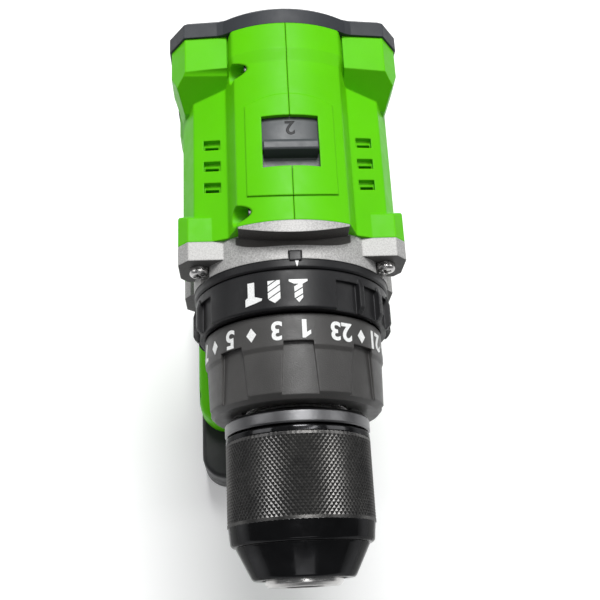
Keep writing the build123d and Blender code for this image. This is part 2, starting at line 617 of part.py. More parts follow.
def housing_outside():
    shape = section(barrel_face(), GREEN_FRONT, CAP_FRONT)
    collar = loft([section_face(0.0, 152.7), section_face(0.7, 156.8)])
    shape += collar + section(offset(barrel_face(), 0.7), 156.8, CAP_FRONT)
    for lobe in four_corners(rear_lobe()):
        shape += lobe
    for corner in four_corners(lug(GREEN_FRONT, 109.8, 3.4)):
        shape += corner
    shape += section(offset(barrel_face(), 0.45), 105.0, 142.0) & plan(pad_outline(), 30, 40)
    shape += handle_loft(0.0)
    foot = foot_block(0.0, FOOT_LOW, FOOT_TOP)
    foot = fillet(foot.edges().group_by(Axis.Z)[-1], 5.0)
    foot = chamfer(foot.edges().group_by(Axis.Z)[0], 0.6)
    below = outline((GREEN_FRONT, -26), (GREEN_FRONT, -40), (101.5, -42.6), (116, -42.6), (116, -26))
    chin = side(below, -12, 12)
    chin = fillet(chin.edges().filter_by(Axis.Y), 3.0)
    return shape + foot + chin


def section_face(grow, y):
    """The barrel's outline as a face standing at y."""
    plane = Plane(origin=(0, y, 0), x_dir=(1, 0, 0), z_dir=(0, -1, 0))
    return plane * (offset(barrel_face(), grow) if grow else barrel_face())


def housing_inside():
    inner = section(offset(barrel_face(), -WALL), GREEN_FRONT + 3, CAP_FRONT + 1)
    for y in (142.0, 151.5):
        inner -= section(Rectangle(90, 90) - Circle(STATOR_R + 0.05), y, y + 2.2)
    inner += handle_loft(-WALL, top=-24.0, low=-127.6)
    inner += foot_block(-WALL, -131.4, FOOT_TOP - WALL)
    return inner


def housing():
    shape = housing_outside()
    cavity = housing_inside()
    bores = []
    for x, z in LUG_SCREWS:
        cavity -= rod(3.4, GREEN_FRONT, 112.6, x, z)
        bores.append(rod(1.55, GREEN_FRONT - 1, 111.4, x, z))
    for x, z in CAP_SCREWS:
        cavity -= rod(3.6, 150.0, CAP_FRONT, x, z)
        bores.append(rod(1.55, 153.0, CAP_FRONT + 1, x, z))
    for screw in HOUSING_SCREWS:
        column, bore = screw_boss(*screw)
        cavity -= column
        bores.append(bore)
    shape -= cavity
    for bore in bores:
        shape -= bore
    shape -= rod(CASE_R + 0.1, GREEN_FRONT - 1, GREEN_FRONT + 4)

    shape -= block(-8.5, 8.5, 115.8, 133.0, 30, 40)
    shape -= crown_under(33.9) & block(-10.1, 10.1, KNOB_FRONT - 0.3, KNOB_REAR + KNOB_TRAVEL + 0.3, 32.0, 40)
    floor = section(offset(barrel_face(), -1.5), GREEN_FRONT, CAP_FRONT)
    vent = plan(outline((21.2, 114.2), (26.4, 115.2), (26.4, 118.6), (21.2, 117.6)), 16, 40)
    slit = plan(outline((21.8, 114.5), (26.0, 115.3), (26.0, 116.9), (21.8, 116.1)), 16, 40)
    louvre = (vent - floor) + slit
    for y in (0.0, 7.4, 14.8):
        for cut in (louvre, mirror(louvre, Plane.YZ)):
            shape -= Pos(0, y, 0) * cut
    shape -= block(-9.3, 9.3, 90, 119.5, TRIGGER_LOW - 0.3, TRIGGER_TOP + 0.3)
    shape -= Pos(0, LEVER_Y, LEVER_Z) * Box(60, 8.5, 5.6)
    shape -= block(-4.6, 4.6, 97, 104, -40.4, -35.6)
    shape -= block(-24.4, 24.4, FOOT_FRONT - 2, 158.0, -139.3, -133.8)
    shape -= block(-20.0, 20.0, FOOT_FRONT - 2, 158.0, -143.0, -139.2)
    shape -= block(-17.0, 17.0, 146.4, 157.0, -134.0, -131.0)
    halves = shape & block(-60, -SEAM, 40, 200, -160, 60), shape & block(SEAM, 60, 40, 200, -160, 60)
    write("housing_left", halves[0])
    write("housing_right", halves[1])

    grip = handle_loft(1.3) - handle_loft(0.0)
    band = outline((126, -37), (170, -35.5), (170, -114), (150, -116), (128, -112), (121, -80), (120, -60))
    grip &= side(band, -60, 60)
    grip -= block(-0.4, 0.4, 90, 200, -130, 0)
    grip -= section(barrel_face(), 90, 166)
    write("grip_overmoulds", grip)


def rear_cap():
    cap = section(rear_face(), CAP_FRONT + 0.02, LENGTH)
    cap = chamfer(cap.edges().group_by(Axis.Y)[-1], 2.0)
    cap -= section(offset(barrel_face(), -WALL), CAP_FRONT - 1, LENGTH - WALL)
    cap += tube(9.2, 6.5, CAP_FRONT - 1.4, LENGTH - WALL + 0.1)
    cap += rod(9.2, LENGTH - 4.1, LENGTH - WALL + 0.1)
    slot = section(Pos(16.5, 0) * Rectangle(9.0, 3.2), LENGTH - 5, LENGTH + 1)
    for cut in around(slot, 10, 18):
        cap -= cut
    for x, z in CAP_SCREWS:
        cap -= rod(1.7, CAP_FRONT - 1, LENGTH, x, z) + rod(3.2, LENGTH - 3.4, LENGTH + 1, x, z)
    write("rear_cap", cap)


def body_screws():
    """The screws that join the housing's halves, and those that hold the rear cap."""
    screws = []
    for y, z, seat, tip, _ in HOUSING_SCREWS:
        screw = cross_rod(2.8, seat - 2.2, seat, y, z) + cross_rod(1.5, seat, tip, y, z)
        screws.append(screw - side(Pos(y, z) * RegularPolygon(1.4, 6), seat - 3, seat - 1.0))
    for x, z in CAP_SCREWS:
        screw = rod(2.8, LENGTH - 3.4, LENGTH - 1.2, x, z) + rod(1.5, 154.0, LENGTH - 3.3, x, z)
        screws.append(screw - section(Pos(x, z) * RegularPolygon(1.4, 6), LENGTH - 2.4, LENGTH))
    write("body_screws", *screws)


# ---------------------------------------------------------------- handle


def controls():
    front = [(98.0, -43.4), (98.8, -48), (101.4, -53), (102.8, -58), (102.6, -63), (101.4, -66.6)]
    rest = Polyline(front[-1], (112.0, -66.6), (112.0, -43.4), front[0])
    trigger = side(make_face([Spline(*front), rest]), -9.0, 9.0)
    write("trigger", trigger + block(-4.0, 4.0, 111.8, SWITCH_FRONT - TRIGGER_TRAVEL - 0.3, -58.0, -50.0))

    lever = Pos(0, LEVER_Y, LEVER_Z) * Box(2 * LEVER_HALF, 8.0, 5.0)
    write("direction_lever", fillet(lever.edges().filter_by(Axis.Z), 1.5))

    switch = block(-11.5, 11.5, SWITCH_FRONT, 146.0, -74.0, -40.4)
    switch += block(-9.0, 9.0, SWITCH_FRONT + 2, 136.0, -79.0, -73.9)
    write("switch_module", fillet(switch.edges().filter_by(Axis.X).group_by(Axis.Z)[-1], 1.2))
    lens = block(-4.5, 4.5, 97.9, 103.9, -40.3, -35.7)
    write("led_lens", fillet(lens.edges().group_by(Axis.Y)[0], 0.8))

    terminals = block(-16.8, 16.8, 146.6, 156.8, -138.8, -131.2)
    for x in BLADES:
        terminals += block(x - 0.4, x + 0.4, 134.0, 147.0, -138.4, -134.8)
    write("terminal_block", terminals)

    leads = []
    for x in (-3.6, 0.0, 3.6):
        low = Spline((x, 151, -130.7), (x, 143, -117), (x, 136, -98), (x, 134, -79.2))
        high = Spline((x, 143, -39.8), (x, 139, -34), (x, 135, -28), (x, 135, -22.6))
        for path in (low, high):
            ring = Plane(origin=path @ 0, z_dir=path % 0) * Circle(0.9)
            leads.append(sweep(ring, path))
    write("wiring", *leads)


# ---------------------------------------------------------------- battery


def pack_block(grow, z0, z1):
    middle, length = (PACK_FRONT + PACK_REAR) / 2, PACK_REAR - PACK_FRONT
    face = RectangleRounded(2 * (PACK_HALF + grow), length + 2 * grow, 11 + grow)
    return Pos(0, middle, 0) * plan(face, z0, z1)


def battery():
    upper = pack_block(0.0, PACK_SPLIT, PACK_TOP)
    upper = fillet(upper.edges().group_by(Axis.Z)[-1], 2.0)
    upper -= pack_block(-WALL, PACK_SPLIT - 1, PACK_TOP - WALL)
    upper += block(-24.0, 24.0, RAIL_FRONT, 145.6, -139.0, -134.2)
    upper += block(-19.6, 19.6, RAIL_FRONT, 145.6, -143.0, -138.9)
    upper -= block(-17.2, 17.2, RAIL_FRONT + 4.0, 143.2, -146.0, -136.4)
    for x in BLADES:
        upper -= block(x - 0.9, x + 0.9, 132.0, 147.0, -138.9, -133.0)
    upper -= block(-12.4, 12.4, 56.4, 68.6, -150.0, -140.0)
    upper -= block(-5.9, 5.9, 73.0, 82.2, -145.0, -133.0) - block(-7, 7, 72.9, 76.0, -146, PACK_TOP)
    write("battery_case_upper", upper)

    lower = pack_block(0.0, PACK_LOW, PACK_SPLIT)
    lower = fillet(lower.edges().group_by(Axis.Z)[0], 2.4)
    lower -= pack_block(-WALL, PACK_LOW + WALL, PACK_SPLIT + 1)
    lower -= pack_block(1.0, -156.4, -155.6) - pack_block(-0.5, -157, -155)
    lower += rod_up(2.4, 0.0, LATCH_SPRING_Y, PACK_LOW + 1, -162.0)
    for x, y in PACK_SCREWS:
        lower += rod_up(2.8, x, y, PACK_LOW + 1, PACK_SPLIT)
        lower -= rod_up(1.6, x, y, PACK_LOW - 1, PACK_SPLIT + 1)
        lower -= rod_up(2.7, x, y, PACK_LOW - 1, PACK_LOW + 2.4)
    write("battery_case_lower", lower)
    screws = []
    for x, y in PACK_SCREWS:
        screw = rod_up(2.5, x, y, PACK_LOW + 0.5, PACK_LOW + 2.4)
        screw += rod_up(1.5, x, y, PACK_LOW + 2.4, PACK_SPLIT - 1)
        screws.append(screw - Pos(x, y, PACK_LOW) * extrude(RegularPolygon(1.3, 6), amount=1.4))
    write("battery_screws", *screws)

    cells = []
    for k in range(CELL_COUNT):
        y = CELL_FIRST + k * CELL_PITCH
        cell = cross_rod(CELL_R, -CELL_LENGTH / 2, CELL_LENGTH / 2, y, CELL_Z)
        cells.append(cell + cross_rod(3.0, CELL_LENGTH / 2 - 0.1, CELL_LENGTH / 2 + 0.7, y, CELL_Z))
    write("battery_cells", *cells)
    board = block(-16.0, 16.0, 84.0, 142.0, -150.2, -148.6)
    for x in BLADES:
        for offset_x in (-0.8, 0.8):
            board += block(x + offset_x - 0.2, x + offset_x + 0.2, 133.0, 141.0, -148.7, -136.6)
    write("battery_board", board)

    latch = block(-12.0, 12.0, 56.8, 68.2, -146.4, -139.6)
    latch = fillet(latch.edges().group_by(Axis.Z)[-1], 1.2)
    latch += block(-5.5, 5.5, 67.0, 81.6, -146.4, -145.0)
    hook = outline((76.6, -145.2), (81.6, -145.2), (81.6, -138.2), (79.6, -138.2), (76.6, -141.2))
    latch += side(hook, -5.5, 5.5)
    write("battery_latch", latch)
    height = -146.5 - (-162.0) - 0.9
    coil = Helix(pitch=2.2, height=height, radius=LATCH_SPRING_R)
    spring = sweep(Plane(origin=coil @ 0, z_dir=coil % 0) * Circle(0.4), coil, is_frenet=True)
    write("latch_spring", Pos(0, LATCH_SPRING_Y, -162.0 + 0.45) * spring)


gearbox()
chuck()
gear_case()
mode_ring()
torque_clutch()
hammer()
speed_change()
motor()
housing()
rear_cap()
body_screws()
controls()
battery()
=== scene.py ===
"""Looks of the cordless hammer drill: materials, knurled chuck sleeve, printed scales, light, camera."""

import json
import math

import bmesh
import bpy
from mathutils import Matrix, Vector


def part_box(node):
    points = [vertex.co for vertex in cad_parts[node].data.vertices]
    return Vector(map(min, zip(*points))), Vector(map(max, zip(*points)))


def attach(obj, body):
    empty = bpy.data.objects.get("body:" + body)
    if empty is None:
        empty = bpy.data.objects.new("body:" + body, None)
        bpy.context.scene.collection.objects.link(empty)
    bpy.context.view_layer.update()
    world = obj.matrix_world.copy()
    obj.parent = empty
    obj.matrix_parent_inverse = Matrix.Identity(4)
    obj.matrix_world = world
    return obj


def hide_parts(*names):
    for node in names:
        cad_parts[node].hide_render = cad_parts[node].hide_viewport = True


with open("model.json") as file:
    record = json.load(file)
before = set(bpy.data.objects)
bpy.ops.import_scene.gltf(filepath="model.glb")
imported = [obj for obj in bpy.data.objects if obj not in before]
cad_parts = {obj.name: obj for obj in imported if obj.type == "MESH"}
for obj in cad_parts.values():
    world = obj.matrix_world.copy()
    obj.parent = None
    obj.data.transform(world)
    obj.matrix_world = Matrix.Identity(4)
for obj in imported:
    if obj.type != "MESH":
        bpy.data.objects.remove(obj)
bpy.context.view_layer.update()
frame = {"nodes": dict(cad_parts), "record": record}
NODES = frame["nodes"]
MM = 0.001
NOSE_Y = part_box("chuck_body")[0][1]
AXIS_Z = 0.172


def station(mm):
    """A distance back from the chuck's nose, as a Y in the frame."""
    return NOSE_Y + mm * MM


# The painted shadow band along the foot of the step in front of the spine: its front and rear edges at X =
# 0, half its width, its lowest Z, and how far the edges curve back with X squared and X to the fourth.
BAND_FRONT, BAND_REAR = station(93.2), station(94.75)
BAND_HALF, BAND_LOW = 0.0174, AXIS_Z + 0.022
STEP_CURVE, CORNER_CURVE = 11.98, 31000.0


# ---------------------------------------------------------------- materials


class Shader:
    """A Principled material and short calls that wire procedural nodes into it."""

    def __init__(self, name, color, roughness, metallic=0.0, specular=0.5):
        self.material = bpy.data.materials.new(name)
        self.material.use_nodes = True
        self.material.diffuse_color = (*color, 1.0)
        self.tree = self.material.node_tree
        self.shader = self.tree.nodes["Principled BSDF"]
        self.set("Base Color", (*color, 1.0))
        self.set("Roughness", roughness)
        self.set("Metallic", metallic)
        self.set("Specular IOR Level", specular)
        self.texture = self.tree.nodes.new("ShaderNodeTexCoord")
        self.coords = self.texture.outputs["Object"]
        self.normal = None

    def set(self, socket, value):
        self.shader.inputs[socket].default_value = value
        return self

    def link(self, source, target):
        self.tree.links.new(source, target)

    def noise(self, scale, detail=3.0, roughness=0.55, stretch=None):
        node = self.tree.nodes.new("ShaderNodeTexNoise")
        node.inputs["Scale"].default_value = scale
        node.inputs["Detail"].default_value = detail
        node.inputs["Roughness"].default_value = roughness
        self.link(self.stretched(stretch), node.inputs["Vector"])
        return node.outputs["Fac"]

    def stretched(self, stretch):
        if stretch is None:
            return self.coords
        mapping = self.tree.nodes.new("ShaderNodeMapping")
        mapping.inputs["Scale"].default_value = stretch
        self.link(self.coords, mapping.inputs["Vector"])
        return mapping.outputs["Vector"]

    def cells(self, scale, feature="F1"):
        node = self.tree.nodes.new("ShaderNodeTexVoronoi")
        node.feature = feature
        node.inputs["Scale"].default_value = scale
        self.link(self.coords, node.inputs["Vector"])
        return node.outputs["Distance"]

    def ranged(self, value, low, high, to_low, to_high):
        node = self.tree.nodes.new("ShaderNodeMapRange")
        for name, number in (("From Min", low), ("From Max", high), ("To Min", to_low), ("To Max", to_high)):
            node.inputs[name].default_value = number
        self.link(value, node.inputs["Value"])
        return node.outputs["Result"]

    def mixed(self, factor, below, above):
        """Colour that goes from below to above with the factor; below may be a socket."""
        node = self.tree.nodes.new("ShaderNodeMix")
        node.data_type = "RGBA"
        self.link(factor, node.inputs["Factor"])
        for socket, value in ((node.inputs[6], below), (node.inputs[7], above)):
            if isinstance(value, tuple):
                socket.default_value = (*value, 1.0)
            else:
                self.link(value, socket)
        return node.outputs[2]

    def tone(self, factor, below, above):
        out = self.mixed(factor, below, above)
        self.link(out, self.shader.inputs["Base Color"])
        return out

    def gloss(self, value, low, high, to_low, to_high):
        self.link(self.ranged(value, low, high, to_low, to_high), self.shader.inputs["Roughness"])

    def soften(self, radius):
        """Rounds the light on hard edges, and returns where those edges are, from 0 to 1."""
        bevel = self.tree.nodes.new("ShaderNodeBevel")
        bevel.samples = 6
        bevel.inputs["Radius"].default_value = radius
        self.normal = bevel.outputs["Normal"]
        self.link(self.normal, self.shader.inputs["Normal"])
        geometry = self.tree.nodes.new("ShaderNodeNewGeometry")
        dot = self.tree.nodes.new("ShaderNodeVectorMath")
        dot.operation = "DOT_PRODUCT"
        self.link(self.normal, dot.inputs[0])
        self.link(geometry.outputs["Normal"], dot.inputs[1])
        return self.ranged(dot.outputs["Value"], 0.97, 0.80, 0.0, 1.0)

    def darken_front(self, front_face_shade, step_band_shadow):
        """Painted shade on the forward-looking faces and a painted shadow band at the foot of the spine's
        step.
        """
        nodes = self.tree.nodes
        place, normal = nodes.new("ShaderNodeSeparateXYZ"), nodes.new("ShaderNodeSeparateXYZ")
        self.link(self.coords, place.inputs[0])
        self.link(self.texture.outputs["Normal"], normal.inputs[0])
        faces = self.ranged(normal.outputs["Y"], -0.88, -0.78, 1.0, 0.0)
        square = self.product(place.outputs["X"], place.outputs["X"])
        fourth = self.product(square, square)
        step = self.weighted(square, -STEP_CURVE, place.outputs["Y"])
        behind = self.ranged(step, BAND_REAR - 0.00005, BAND_REAR + 0.00005, 1.0, 0.0)
        aside = self.ranged(square, (BAND_HALF - 0.0005)**2, BAND_HALF**2, 1.0, 0.0)
        corner = self.weighted(fourth, -CORNER_CURVE, place.outputs["Y"])
        ahead = self.ranged(corner, BAND_FRONT - 0.0001, BAND_FRONT + 0.0001, 0.0, 1.0)
        above = self.ranged(place.outputs["Z"], BAND_LOW, BAND_LOW + 0.0001, 0.0, 1.0)
        band = self.product(self.product(behind, ahead), self.product(aside, above))
        base = self.shader.inputs["Base Color"].links[0].from_socket
        painted = self.mixed(faces, base, front_face_shade)
        self.tone(band, painted, step_band_shadow)
        either = self.weighted(faces, 1.0, band)
        self.link(self.ranged(either, 0.0, 1.0, 0.35, 0.0), self.shader.inputs["Metallic"])

    def weighted(self, value, factor, extra):
        """value times factor, plus extra."""
        node = self.tree.nodes.new("ShaderNodeMath")
        node.operation = "MULTIPLY_ADD"
        self.link(value, node.inputs[0])
        node.inputs[1].default_value = factor
        self.link(extra, node.inputs[2])
        return node.outputs[0]

    def product(self, one, other):
        node = self.tree.nodes.new("ShaderNodeMath")
        node.operation = "MULTIPLY"
        self.link(one, node.inputs[0])
        self.link(other, node.inputs[1])
        return node.outputs[0]

    def bump(self, height, distance, strength=1.0):
        node = self.tree.nodes.new("ShaderNodeBump")
        node.inputs["Distance"].default_value = distance
        node.inputs["Strength"].default_value = strength
        self.link(height, node.inputs["Height"])
        if self.normal is not None:
            self.link(self.normal, node.inputs["Normal"])
        self.normal = node.outputs["Normal"]
        self.link(self.normal, self.shader.inputs["Normal"])
        return self


def shade(color, factor):
    return tuple(min(1.0, c * factor) for c in color)


def moulded(name, color, roughness, grain=0.00003, spread=0.06, edge_wear_and_highlight=1.25, radius=0.0005):
    """Fine-textured moulded plastic: a cloudy tone, a spark-eroded grain and paler edges, part wear and part
    painted highlight.
    """
    s = Shader(name, color, roughness)
    edges = s.soften(radius)
    patches = s.ranged(s.noise(55.0), 0.3, 0.7, 0.0, 1.0)
    cloud = s.mixed(patches, shade(color, 1 - spread), shade(color, 1 + spread))
    # Paler edges: part edge wear, part painted highlight.
    s.tone(s.ranged(edges, 0.0, 1.0, 0.0, 0.55), cloud, shade(color, edge_wear_and_highlight))
    s.gloss(s.noise(260.0, 4.0), 0.3, 0.7, roughness - 0.05, roughness + 0.07)
    s.bump(s.noise(3200.0, 2.0), grain)
    return s


def machined(name, color, roughness, stretch=(1.0, 1.0, 1.0), scratch=0.00002, radius=0.0004):
    """Metal with fine tool marks along one direction and a slightly uneven polish."""
    s = Shader(name, color, roughness, metallic=1.0)
    edges = s.soften(radius)
    cloud = s.mixed(s.ranged(s.noise(120.0), 0.3, 0.7, 0.0, 1.0), shade(color, 0.88), shade(color, 1.06))
    # Paler edges: part edge wear, part painted highlight.
    s.tone(s.ranged(edges, 0.0, 1.0, 0.0, 0.7), cloud, shade(color, 1.35))
    marks = s.noise(900.0, 3.0, stretch=stretch)
    s.gloss(marks, 0.3, 0.7, roughness * 0.8, roughness * 1.25)
    s.bump(marks, scratch)
    return s


GREEN = (0.104, 0.525, 0.002)


def shell_green():
    s = moulded("moulded_green", GREEN, 0.42, grain=0.000022, spread=0.035, edge_wear_and_highlight=1.12, radius=0.0007)
    s.set("Specular IOR Level", 0.11)
    s.set("Subsurface Weight", 0.04).set("Subsurface Radius", (0.4, 1.0, 0.1))
    s.set("Subsurface Scale", 0.0008)
    return s


def case_silver():
    """Blasted and painted die casting: pale satin metal with a fine dark and light speckle."""
    s = Shader("cast_silver", (0.37, 0.37, 0.365), 0.55, metallic=0.35)
    edges = s.soften(0.0006)
    speck = s.noise(2100.0, 2.0, 0.7)
    base = s.mixed(s.ranged(speck, 0.36, 0.64, 0.0, 1.0), (0.30, 0.296, 0.29), (0.52, 0.515, 0.505))
    # Paler edges: part edge wear, part painted highlight.
    s.tone(s.ranged(edges, 0.0, 1.0, 0.0, 0.4), base, (0.60, 0.60, 0.59))
    s.gloss(speck, 0.35, 0.65, 0.50, 0.68)
    s.bump(speck, 0.00005)
    # Painted shade on the forward faces and a painted shadow band at the foot of the spine's step.
    s.darken_front(front_face_shade=(0.070, 0.068, 0.065), step_band_shadow=(0.040, 0.037, 0.034))
    return s


def collar_black():
    """Black glass-filled plastic with a silky sheen."""
    color = (0.0125, 0.0125, 0.0135)
    s = moulded("satin_black", color, 0.40, grain=0.00003, spread=0.16, edge_wear_and_highlight=3.6, radius=0.0006)
    s.set("Specular IOR Level", 0.25)
    return s


def collar_warm():
    """The torque collar's plastic, paler and warmer than the mode collar's, with a coarser grain."""
    color = (0.046, 0.0445, 0.043)
    s = moulded("satin_charcoal", color, 0.43, grain=0.00006, spread=0.2, edge_wear_and_highlight=2.2, radius=0.0006)
    s.set("Specular IOR Level", 0.42)
    return s


def chuck_black():
    """Black-oxide steel, polished and oiled."""
    s = Shader("black_oxide", (0.020, 0.020, 0.022), 0.22, metallic=1.0)
    edges = s.soften(0.00025)
    patches = s.ranged(s.noise(90.0), 0.3, 0.7, 0.0, 1.0)
    cloud = s.mixed(patches, (0.016, 0.016, 0.017), (0.034, 0.034, 0.036))
    # Bright edges: part worn oxide, part painted highlight.
    s.tone(s.ranged(edges, 0.0, 1.0, 0.0, 0.8), cloud, (0.28, 0.27, 0.26))
    s.gloss(s.noise(400.0, 4.0), 0.3, 0.7, 0.10, 0.26)
    s.bump(s.noise(700.0, 3.0, stretch=(0.15, 4.0, 0.15)), 0.000008)
    s.set("Coat Weight", 0.25).set("Coat Roughness", 0.08).set("Specular Tint", (0.3, 0.3, 0.3, 1.0))
    return s


def knurled_steel():
    """The sleeve's diamonds, where the oxide has worn off the tips."""
    s = Shader("knurled_steel", (0.09, 0.089, 0.088), 0.30, metallic=1.0)
    rub = s.noise(70.0, 3.0)
    s.tone(s.ranged(rub, 0.3, 0.7, 0.0, 1.0), (0.075, 0.074, 0.074), (0.13, 0.127, 0.122))
    s.gloss(s.noise(600.0, 3.0), 0.3, 0.7, 0.27, 0.36)
    s.bump(s.noise(1800.0, 2.0), 0.00001)
    return s


def rubber():
    s = Shader("soft_rubber", (0.022, 0.022, 0.024), 0.72, specular=0.35)
    s.soften(0.0008)
    pebble = s.cells(900.0)
    s.tone(s.ranged(pebble, 0.0, 0.6, 0.0, 1.0), (0.016, 0.016, 0.018), (0.032, 0.032, 0.034))
    s.gloss(s.noise(300.0), 0.3, 0.7, 0.62, 0.82)
    s.bump(pebble, 0.00018)
    s.set("Sheen Weight", 0.2).set("Sheen Roughness", 0.5)
    return s


def lens():
    s = Shader("clear_lens", (0.92, 0.94, 0.96), 0.08)
    s.soften(0.0004)
    s.gloss(s.noise(200.0), 0.3, 0.7, 0.05, 0.16)
    s.set("Transmission Weight", 0.85).set("IOR", 1.49)
    return s


def laminate():
    """Stacked electrical sheets, seen as fine lines across the motor's axis."""
    s = Shader("sheet_stack", (0.34, 0.35, 0.36), 0.42, metallic=0.9)
    s.soften(0.0003)
    lines = s.noise(1.0, 1.0, stretch=(20.0, 2600.0, 20.0))
    s.tone(s.ranged(lines, 0.35, 0.65, 0.0, 1.0), (0.20, 0.205, 0.21), (0.46, 0.47, 0.48))
    s.bump(lines, 0.00006)
    return s


def copper():
    """Lacquered winding wire: strands that run along the coil."""
    s = Shader("winding_wire", (0.62, 0.25, 0.08), 0.28, metallic=0.9)
    s.soften(0.0005)
    strands = s.noise(1.0, 0.0, stretch=(1700.0, 60.0, 1700.0))
    s.tone(s.ranged(strands, 0.35, 0.65, 0.0, 1.0), (0.40, 0.13, 0.04), (0.78, 0.36, 0.13))
    s.bump(strands, 0.00012)
    s.set("Coat Weight", 0.5).set("Coat Roughness", 0.15)
    return s


def board():
    s = Shader("circuit_board", (0.02, 0.16, 0.06), 0.35)
    s.soften(0.0002)
    tracks = s.cells(420.0, "DISTANCE_TO_EDGE")
    s.tone(s.ranged(tracks, 0.02, 0.06, 1.0, 0.0), (0.012, 0.12, 0.045), (0.05, 0.30, 0.10))
    s.bump(tracks, 0.00003)
    return s


def printed():
    """White pad-printed ink, a little uneven where it meets the texture below."""
    s = Shader("white_print", (0.80, 0.81, 0.80), 0.5)
    ink = s.noise(2400.0, 3.0)
    s.tone(s.ranged(ink, 0.3, 0.7, 0.0, 1.0), (0.66, 0.67, 0.66), (0.88, 0.89, 0.88))
    s.bump(ink, 0.00002)
    return s


MATERIALS = {
    "shell_green": shell_green(),
    "cap_grey": moulded("dark_grey", (0.030, 0.033, 0.038), 0.48, grain=0.00005, spread=0.12, edge_wear_and_highlight=2.4),
    "overmould": rubber(),
    "case_silver": case_silver(),
    "collar_black": collar_black(),
    "chuck_black": chuck_black(),
    "steel": machined("bright_steel", (0.56, 0.55, 0.54), 0.24, (0.3, 6.0, 0.3)),
    "dark_steel": machined("oiled_steel", (0.15, 0.15, 0.154), 0.36, (0.3, 6.0, 0.3)),
    "black_screw": machined("black_zinc", (0.035, 0.035, 0.037), 0.34),
    "copper": copper(),
    "black_plastic": moulded(
        "black_moulding", (0.013, 0.0135, 0.015), 0.46, grain=0.00005, spread=0.15, edge_wear_and_highlight=2.6
    ),
    "clear": lens(),
    "cell_wrap": moulded("cell_sleeve", (0.02, 0.10, 0.30), 0.22, grain=0.000008, spread=0.05),
    "board": board(),
    "wire": moulded("lead_sleeve", (0.42, 0.02, 0.015), 0.35, grain=0.000015, spread=0.08, edge_wear_and_highlight=1.3),
    "laminate": laminate(),
}
MATERIALS["cap_grey"].set("Specular IOR Level", 0.28)
MATERIALS["torque"] = collar_warm()
MATERIALS["knob"] = moulded("knob_grey", (0.050, 0.056, 0.060), 0.46, grain=0.00004, spread=0.10, edge_wear_and_highlight=2.0)
MATERIALS["knurl"] = knurled_steel()
PRINT = printed()


for part in frame["record"]["subparts"]:
    for place in NODES[part["node"]].material_slots:
        place.material = MATERIALS[part["material_slot"]].material
for node, look in (("torque_ring", "torque"), ("speed_knob", "knob")):
    for place in NODES[node].material_slots:
        place.material = MATERIALS[look].material


# ---------------------------------------------------------------- meshes


def new_piece(name, bm, shader, body, smooth=35.0):
    mesh = bpy.data.meshes.new(name)
    bm.normal_update()
    bm.to_mesh(mesh)
    bm.free()
    mesh.shade_smooth()
    mesh.set_sharp_from_angle(angle=math.radians(smooth))
    obj = bpy.data.objects.new(name, mesh)
    bpy.context.scene.collection.objects.link(obj)
    mesh.materials.append(shader.material)
    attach(obj, body)
    return obj


def rounded(profile, radius, steps=4):
    """A closed (radius, station) outline with each corner turned into a small arc."""
    out = []
    count = len(profile)
    for i, corner in enumerate(profile):
        here, before, after = Vector(corner), Vector(profile[i - 1]), Vector(profile[(i + 1) % count])
        back, forward = before - here, after - here
        cut = min(radius, back.length * 0.45, forward.length * 0.45)
        start, end = here + back.normalized() * cut, here + forward.normalized() * cut
        for k in range(steps + 1):
            t = k / steps
            out.append(tuple(start.lerp(here, t).lerp(here.lerp(end, t), t)))
    return out


def lathe(rings, segments, height=None):
    """A closed solid of revolution about the spindle. height(r, y, angle) may move a point outwards."""
    bm = bmesh.new()
    rows = []
    for r, y in rings:
        row = []
        for k in range(segments):
            angle = 2 * math.pi * k / segments
            reach = (r + (height(r, y, k) if height else 0.0)) * MM
            row.append(bm.verts.new((reach * math.sin(angle), station(y), AXIS_Z + reach * math.cos(angle))))
        rows.append(row)
    for i, row in enumerate(rows):
        after = rows[(i + 1) % len(rows)]
        for k in range(segments):
            n = (k + 1) % segments
            bm.faces.new((row[k], row[n], after[n], after[k]))
    bmesh.ops.recalc_face_normals(bm, faces=bm.faces)
    return bm


SLEEVE_RADIUS = 21.75
KNURL_FRONT, KNURL_REAR = 16.9, 40.9
KNURL_DEPTH = 0.32
VALLEY = -0.6 * KNURL_DEPTH  # height of the foot of the diamonds over the sleeve's own radius
DIAMONDS, PER_DIAMOND = 98, 2  # around the sleeve, and mesh columns for each
KNURL_ROWS = 28
KNURL_STEP = (KNURL_REAR - KNURL_FRONT) / KNURL_ROWS


def knurl(r, y, k):
    """Height of the crossed grooves at a row of the knurled band."""
    if not KNURL_FRONT < y < KNURL_REAR or r < 21.0:
        return 0.0
    row, along = (y - KNURL_FRONT) / KNURL_STEP / PER_DIAMOND, k / PER_DIAMOND
    left, right = (row + along) % 1.0, (row - along) % 1.0
    ridge = 1 - max(abs(left - 0.5), abs(right - 0.5)) * 2
    return VALLEY + KNURL_DEPTH * ridge


def on_sleeve(point):
    """A point's station and its distance from the spindle's axis, in millimetres."""
    return (point.y - NOSE_Y) / MM, math.hypot(point.x, point.z - AXIS_Z) / MM


def in_band(vertex):
    """Whether a point of the sleeve lies among the whole diamonds of the knurled band."""
    y, r = on_sleeve(vertex.co)
    return r > 20.9 and KNURL_FRONT + 0.9 * KNURL_STEP < y < KNURL_REAR - 0.9 * KNURL_STEP


